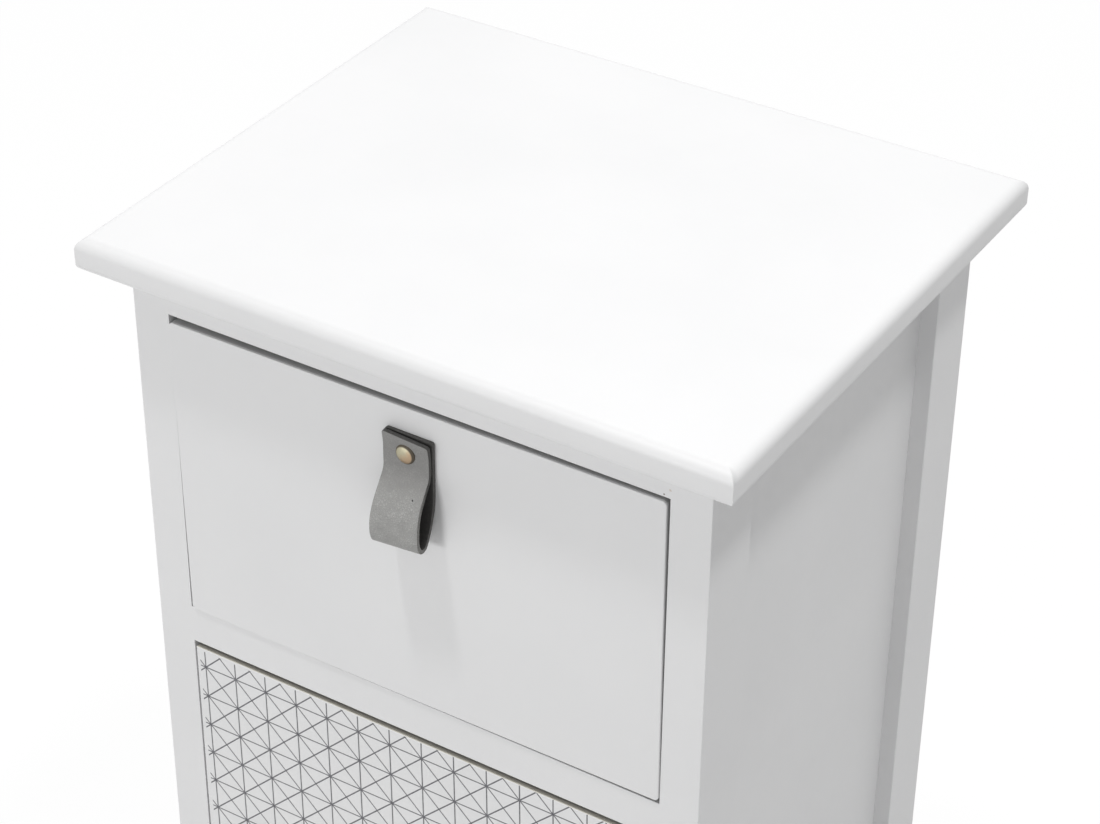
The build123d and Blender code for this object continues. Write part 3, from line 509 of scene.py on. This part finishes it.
def makeMetal(name, grain=metalGrain):
    look = metalLooks[name]
    material, tree, shader = startMaterial(name)
    patches = noiseOn(tree, placeOn(tree), look["patch"], *grain["patchNoise"])
    low, high = grain["patchStops"]
    body = rampOf(tree, patches, [(low, look["dark"]), (high, look["light"])])
    plug(tree, body, shader.inputs["Base Color"])
    shader.inputs["Metallic"].default_value = 1.0
    plug(tree, bandOf(tree, patches, *look["rough"]), shader.inputs["Roughness"])
    along = placeOn(tree, scale=grain["scratchStretch"])
    scratches = noiseOn(tree, along, grain["scratchScale"], grain["scratchDetail"])
    bumpOn(tree, shader, [(scratches, grain["scratchStrength"], grain["scratchDepth"])])
    return material


# Brass studs: a painted warm reflection low on the right, and darker round a rim that is widest at the upper
# right
studLook = {
    "pale": (0.420, 0.392, 0.285),
    "paintedWarmReflection": (0.430, 0.320, 0.215),
    "darkRim": (0.070, 0.055, 0.035),
    "rimFrom": 4.1 * mm,
    "rimTo": 4.8 * mm,
    "rimShift": 0.4 * mm,
    "rimMetallic": 0.2,
    "slant": 3.0 * mm,
    "wander": 1.2 * mm,
    "cloudScale": 600.0,
    "cloudNoise": (3, 0.6),
    "cloudStrength": 0.25,
    "cloudDepth": 0.12 * mm,
    "roughness": (0.46, 0.60),
}


def makeStudBrass(name, node, look=studLook):
    low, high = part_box(node)
    centre = (low + high) / 2
    material, tree, shader = startMaterial(name)
    place = addNode(tree, "ShaderNodeSeparateXYZ", {0: placeOn(tree, location=(-centre.x, 0, -centre.z))})
    slanted = maths(tree, "SUBTRACT", place.outputs[0], place.outputs[2])
    cloudy = noiseOn(tree, placeOn(tree), look["cloudScale"], *look["cloudNoise"])
    slanted = maths(tree, "ADD", slanted, bandOf(tree, cloudy, -look["wander"], look["wander"]))
    # Painted reflection: warmer brown towards the lower right
    paintedReflectionShare = rangeOf(tree, slanted, -look["slant"], look["slant"], 0.0, 1.0, smooth=True)
    body = mixColours(tree, paintedReflectionShare, (*look["pale"], 1), (*look["paintedWarmReflection"], 1))
    facing = addNode(tree, "ShaderNodeCombineXYZ", {0: place.outputs[0], 1: place.outputs[2]}).outputs[0]
    # Darker and less metallic round the rim, widest at the upper right
    away = distanceOn(tree, facing, (-look["rimShift"], -look["rimShift"], 0))
    rim = rangeOf(tree, away, look["rimFrom"], look["rimTo"], 0.0, 1.0, smooth=True)
    plug(tree, mixColours(tree, rim, body, (*look["darkRim"], 1)), shader.inputs["Base Color"])
    plug(tree, rangeOf(tree, rim, 0.0, 1.0, 1.0, look["rimMetallic"]), shader.inputs["Metallic"])
    plug(tree, bandOf(tree, cloudy, *look["roughness"]), shader.inputs["Roughness"])
    bumpOn(tree, shader, [(cloudy, look["cloudStrength"], look["cloudDepth"])])
    return material


# Moulded plastic and the ferrite block
mouldedLooks = {
    "whitePlastic": {
        "colour": (0.70, 0.70, 0.685), "other": (0.66, 0.66, 0.645),
        "scale": 900.0, "rough": (0.36, 0.48)},
    "ferrite": {
        "colour": (0.030, 0.030, 0.033), "other": (0.060, 0.058, 0.058),
        "scale": 1500.0, "rough": (0.60, 0.82)},
}
mouldedGrain = {"strength": 0.2, "depth": 0.05 * mm}


def makeMoulded(name, grain=mouldedGrain):
    look = mouldedLooks[name]
    material, tree, shader = startMaterial(name)
    speckle = noiseOn(tree, placeOn(tree), look["scale"])
    body = mixColours(tree, speckle, (*look["other"], 1), (*look["colour"], 1))
    plug(tree, body, shader.inputs["Base Color"])
    plug(tree, bandOf(tree, speckle, *look["rough"]), shader.inputs["Roughness"])
    bumpOn(tree, shader, [(speckle, grain["strength"], grain["depth"])])
    return material


paint = makePaint("whitePaint")
crownedPaintWithPaintedShade = makeCrownedPaintWithPaintedShade("crownedEdgePaintedShade")
printedDoor = makePrintedDoor("printedDoorPaint")
boardAlongX = makeWood("pineAcross")
boardAlongY = makeWood("pineFrontToBack")
stripWood = makeWood("pineStrip")
dowelWood = makeWood("beechDowel")
plyWood = makeWood("plySheet")
leather = makeLeather("greyLeather")
cutLeather = makeCutLeather("leatherCutEdge", "cutEdge", "cutEdgeLight")
# The near-black flesh side is painted shade inside the loop
fleshLeather = makeCutLeather("leatherFleshSide", "flesh", "fleshLight")
drawerStudBrass = makeStudBrass("drawerStudBrass", "drawer_stud")
doorStudBrass = makeStudBrass("doorStudBrass", "door_stud")
zincSteel = makeMetal("zincSteel")
hingeSteel = makeMetal("hingeSteel")
whitePlastic = makeMoulded("whitePlastic")
ferrite = makeMoulded("ferrite")
print("materials made")

# Which finish each CAD node takes
nodeFinishes = [
    (crownedPaintWithPaintedShade, ["top_panel"]),
    (paint, [
        "front_left_post", "front_right_post", "rear_left_post", "rear_right_post",
        "left_side_panel", "right_side_panel", "front_top_rail", "front_mid_rail", "front_bottom_rail",
        "rear_top_rail", "rear_mid_rail", "rear_bottom_rail", "drawer_front", "bottom_panel",
        "divider_panel", "back_panel"]),
    (printedDoor, ["door_panel"]),
    (boardAlongX, ["drawer_box_front", "drawer_back"]),
    (boardAlongY, ["drawer_left_side", "drawer_right_side"]),
    (stripWood, ["left_drawer_runner", "right_drawer_runner"]),
    (dowelWood, ["frame_dowels"]),
    (plyWood, ["drawer_bottom"]),
    (leather, ["drawer_strap", "door_strap"]),
    (drawerStudBrass, ["drawer_stud"]),
    (doorStudBrass, ["door_stud"]),
    (zincSteel, [
        "back_panel_nails", "top_screws", "runner_screws", "drawer_front_screws", "drawer_stud_screw",
        "door_stud_screw", "hinge_frame_screws", "hinge_door_screws", "catch_screws", "catch_pole_plates",
        "strike_plate", "strike_screw"]),
    (hingeSteel, [
        "upper_hinge_frame_leaf", "upper_hinge_door_leaf", "upper_hinge_pin",
        "lower_hinge_frame_leaf", "lower_hinge_door_leaf", "lower_hinge_pin"]),
    (ferrite, ["catch_magnet"]),
    (whitePlastic, ["catch_housing", "floor_glides"]),
]
for material, names in nodeFinishes:
    for name in names:
        nodes[name].data.materials.clear()
        nodes[name].data.materials.append(material)
print("nodes finished")


# Leather strap pulls, folded from one strip: down the front, round the foot and up the back.
# Each station says, for a distance along the strip: (distance in mm, width in mm, twist, tilt in degrees).
strapLook = {
    "thickness": 2.2 * mm,
    "leafGap": 0.15 * mm,
    "lean": 1.0 * mm,
    "leanEnd": 6.5 * mm,
    "leanSteps": 3,
    "straight": 16.0 * mm,
    "straightSteps": 4,
    "flareRadius": 11.0 * mm,
    "flareAngle": 33,
    "flareSteps": 5,
    "ramp": 9.8 * mm,
    "rampSteps": 5,
    "bellyRadius": 31.0 * mm,
    "bellySteps": 9,
    "dropSteps": 1,
    "hipRadius": 14.0 * mm,
    "hipAngle": 25,
    "hipSteps": 5,
    "footRadius": 3.2 * mm,
    "footAngle": 125,
    "footSteps": 12,
    "returnSteps": 10,
    "backSteps": 14,
    "height": 57.0 * mm,
    "frontRise": 0.8 * mm,
    "backRise": 1.1 * mm,
    "cutsAcross": 11,
    "cornerRadius": 1.3 * mm,
    "cornerSteps": 4,
    "cornerBeyond": 12.0 * mm,
    "rowSlack": 0.1 * mm,
    "mergeWithin": 0.01 * mm,
    "easedEdge": 0.32 * mm,
    "easeSteps": 2,
    "easeAngle": 50,
    "smoothAngle": 40,
    "stations": [
        (0, 25.8, 0, 3.5), (6, 25.8, 0, 2), (16, 26.0, 0, 0), (24, 26.0, -3.5, 0), (34, 26.2, -2, -1),
        (46, 26.8, 2, -3), (62, 26.8, 2.5, -3), (78, 26.8, 1, -1), (90, 27.0, 0, 0), (130, 27.0, 0, 0)],
}


def stripAt(distance, stations=strapLook["stations"]):
    place = distance / mm
    for near, far in zip(stations[:-1], stations[1:]):
        if place <= far[0]:
            break
    share = min((place - near[0]) / (far[0] - near[0]), 1)
    width, twist, tilt = (start + (end - start) * share for start, end in zip(near[1:], far[1:]))
    return width * mm, math.radians(twist), math.radians(tilt)


def foldStrap(name, middleX, faceY, topZ, body, node, look=strapLook):
    half = look["thickness"] / 2
    frontY = faceY - 3 * half - look["leafGap"]
    strip = {"y": frontY - look["lean"], "z": topZ + look["frontRise"], "heading": 0.0, "run": 0.0}
    strip["width"], strip["twist"], strip["tilt"] = stripAt(0)

    bpy.ops.object.select_all(action="DESELECT")
    bpy.ops.mesh.primitive_plane_add(
        size=strip["width"], location=(middleX, strip["y"] - strip["width"] / 2, strip["z"]))
    strap = bpy.context.active_object
    strap.name = name
    bpy.ops.object.transform_apply(location=True, rotation=True, scale=True)
    bpy.ops.object.mode_set(mode="EDIT")
    bpy.ops.mesh.select_mode(type="VERT")
    bpy.ops.mesh.select_all(action="DESELECT")
    mesh = bmesh.from_edit_mesh(strap.data)
    for vertex in mesh.verts:
        vertex.select_set(vertex.co.y < strip["y"] - half)
    bmesh.update_edit_mesh(strap.data)
    bpy.ops.mesh.delete(type="VERT")
    bpy.ops.mesh.select_all(action="SELECT")
    bpy.ops.mesh.subdivide(number_cuts=look["cutsAcross"])
    bpy.ops.transform.rotate(
        value=-strip["tilt"], orient_axis="Y", center_override=(middleX, strip["y"], strip["z"]))

    def step(dy, dz):
        bpy.ops.mesh.extrude_region_move(TRANSFORM_OT_translate={"value": (0, dy, dz)})
        strip["y"] += dy
        strip["z"] += dz
        strip["run"] += math.hypot(dy, dz)
        width, twist, tilt = stripAt(strip["run"])
        centre = (middleX, strip["y"], strip["z"])
        bpy.ops.transform.rotate(value=strip["twist"], orient_axis="Z", center_override=centre)
        bpy.ops.transform.rotate(value=strip["tilt"], orient_axis="Y", center_override=centre)
        bpy.ops.transform.resize(value=(width / strip["width"], 1, 1), center_override=centre)
        bpy.ops.transform.rotate(value=-tilt, orient_axis="Y", center_override=centre)
        bpy.ops.transform.rotate(value=-twist, orient_axis="Z", center_override=centre)
        strip["width"], strip["twist"], strip["tilt"] = width, twist, tilt

    def goOn(length, steps):
        for _ in range(steps):
            step(-math.sin(strip["heading"]) * length / steps, -math.cos(strip["heading"]) * length / steps)

    def turn(radius, degrees, steps):
        share = math.radians(degrees) / steps
        chord = 2 * radius * math.sin(abs(share) / 2)
        for _ in range(steps):
            along = strip["heading"] + share / 2
            step(-math.sin(along) * chord, -math.cos(along) * chord)
            strip["heading"] += share

    leanSteps = look["leanSteps"]
    for _ in range(leanSteps):
        step(look["lean"] / leanSteps, -(look["leanEnd"] + look["frontRise"]) / leanSteps)
    goOn(look["straight"] - look["leanEnd"], look["straightSteps"])
    turn(look["flareRadius"], look["flareAngle"], look["flareSteps"])
    goOn(look["ramp"], look["rampSteps"])
    turn(look["bellyRadius"], -look["flareAngle"], look["bellySteps"])
    hipSine = math.sin(math.radians(look["hipAngle"]))
    footZ = topZ - look["height"] + half + look["footRadius"] * (1 - hipSine)
    goOn(strip["z"] - footZ - look["hipRadius"] * hipSine, look["dropSteps"])
    turn(look["hipRadius"], -look["hipAngle"], look["hipSteps"])
    turn(look["footRadius"], -look["footAngle"], look["footSteps"])
    returnAngle = 180 - look["hipAngle"] - look["footAngle"]
    remaining = faceY - half - strip["y"]
    returnRadius = remaining / (1 - math.cos(math.radians(returnAngle)))
    turn(returnRadius, -returnAngle, look["returnSteps"])
    goOn(topZ + look["backRise"] - strip["z"], look["backSteps"])

    # The four corners of the strip are cut round
    backRow = topZ + look["backRise"] - look["rowSlack"]
    frontRow = topZ - look["frontRise"] / 2
    mesh = bmesh.from_edit_mesh(strap.data)
    for vertex in mesh.verts:
        atFrontEnd = vertex.co.z > frontRow and vertex.co.y < frontY - look["lean"] + look["rowSlack"]
        atSide = abs(vertex.co.x - middleX) > look["cornerBeyond"]
        vertex.select_set((vertex.co.z > backRow or atFrontEnd) and atSide)
    mesh.select_flush(False)
    bmesh.update_edit_mesh(strap.data)
    bpy.ops.mesh.bevel(offset=look["cornerRadius"], segments=look["cornerSteps"], affect="VERTICES")

    bpy.ops.mesh.select_all(action="SELECT")
    bpy.ops.mesh.remove_doubles(threshold=look["mergeWithin"])
    bpy.ops.mesh.normals_make_consistent(inside=False)

    # The face furthest out has to look outward, since the wall's outer side is leather
    mesh = bmesh.from_edit_mesh(strap.data)
    bellyFace = min(mesh.faces, key=lambda face: face.calc_center_median().y)
    if bellyFace.normal.y > 0:
        bpy.ops.mesh.flip_normals()
    bpy.ops.object.mode_set(mode="OBJECT")

    # Counted from 0, the cut edge is material 1 and the flesh side material 2
    for material in (leather, cutLeather, fleshLeather):
        strap.data.materials.append(material)
    wall = strap.modifiers.new("wall", "SOLIDIFY")
    wall.thickness = look["thickness"]
    wall.offset = 0
    wall.use_even_offset = True
    wall.material_offset = 2
    wall.material_offset_rim = 1
    ease = strap.modifiers.new("ease", "BEVEL")
    ease.width = look["easedEdge"]
    ease.segments = look["easeSteps"]
    ease.limit_method = "ANGLE"
    ease.angle_limit = math.radians(look["easeAngle"])
    for modifier in (wall, ease):
        bpy.ops.object.modifier_apply(modifier=modifier.name)
    bpy.ops.object.shade_smooth_by_angle(angle=math.radians(look["smoothAngle"]))
    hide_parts(node)
    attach(strap, body)


def strapPlace(node):
    low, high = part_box(node)
    return (low.x + high.x) / 2, high.y, high.z


foldStrap("drawerLeatherStrap", *strapPlace("drawer_strap"), "drawer", "drawer_strap")
foldStrap("doorLeatherStrap", *strapPlace("door_strap"), "door", "door_strap")
print("straps folded")


# Floor, daylight and lamps
stageLook = {
    "floorSize": 24.0,
    "floor": (0.62, 0.62, 0.62),
    "floorRoughness": 0.9,
    "floorShine": 0.1,
    "floorGlow": 0.88,
    "glowStrength": 1.06,
    "daylight": 0.42,
}
lampLooks = {
    "rightOverheadLamp": {"place": (1.10, 0.09, 3.38), "aim": (0.16, 0, 0.53), "size": 0.33, "power": 38.0},
    "leftOverheadLamp": {"place": (-0.43, -0.75, 3.43), "aim": (0, -0.13, 0.50), "size": 0.25, "power": 30.0},
    "frontLamp": {"place": (-1.00, -3.50, 0.95), "aim": (0, -0.13, 0.45), "size": 1.10, "power": 37.3},
    "rearOverheadLamp": {"place": (-0.50, 1.40, 3.00), "aim": (0, 0, 0.60), "size": 1.20, "power": 4.0},
}

plainWhite = (1, 1, 1, 1)


def seenBy(tree, kinds):
    rays = addNode(tree, "ShaderNodeLightPath")
    seen = rays.outputs[kinds[0]]
    for kind in kinds[1:]:
        seen = maths(tree, "MAXIMUM", seen, rays.outputs[kind])
    return seen


def mixShaders(tree, share, first, second, output):
    mixed = addNode(tree, "ShaderNodeMixShader", {0: share, 1: first.outputs[0], 2: second.outputs[0]})
    tree.links.new(mixed.outputs[0], tree.nodes[output].inputs["Surface"])


bpy.ops.object.select_all(action="DESELECT")
bpy.ops.mesh.primitive_plane_add(size=stageLook["floorSize"], location=(0, 0, 0))
studioFloor = bpy.context.active_object
studioFloor.name = "studioFloor"
floorPaint, tree, shader = startMaterial("paleFloor")
shader.inputs["Base Color"].default_value = (*stageLook["floor"], 1)
shader.inputs["Roughness"].default_value = stageLook["floorRoughness"]
shader.inputs["Specular IOR Level"].default_value = stageLook["floorShine"]
glow = addNode(tree, "ShaderNodeEmission", {"Color": plainWhite, "Strength": stageLook["glowStrength"]})
seen = seenBy(tree, ["Is Camera Ray", "Is Glossy Ray"])
share = maths(tree, "MULTIPLY", seen, stageLook["floorGlow"])
mixShaders(tree, share, shader, glow, "Material Output")
studioFloor.data.materials.append(floorPaint)

world = bpy.data.worlds.new("softDaylight")
bpy.context.scene.world = world
world.use_nodes = True
tree = world.node_tree
daylight = tree.nodes["Background"]
daylight.inputs["Color"].default_value = plainWhite
daylight.inputs["Strength"].default_value = stageLook["daylight"]
backdrop = addNode(tree, "ShaderNodeBackground", {"Color": plainWhite, "Strength": 1.0})
seen = seenBy(tree, ["Is Camera Ray", "Is Glossy Ray", "Is Transmission Ray"])
mixShaders(tree, seen, daylight, backdrop, "World Output")

for name, look in lampLooks.items():
    bpy.ops.object.light_add(type="AREA", location=look["place"])
    lamp = bpy.context.active_object
    lamp.name = name
    lamp.rotation_euler = (Vector(look["aim"]) - Vector(look["place"])).to_track_quat("-Z", "Y").to_euler()
    lamp.data.shape = "DISK"
    lamp.data.size = look["size"]
    lamp.data.energy = look["power"]
print("lights set")
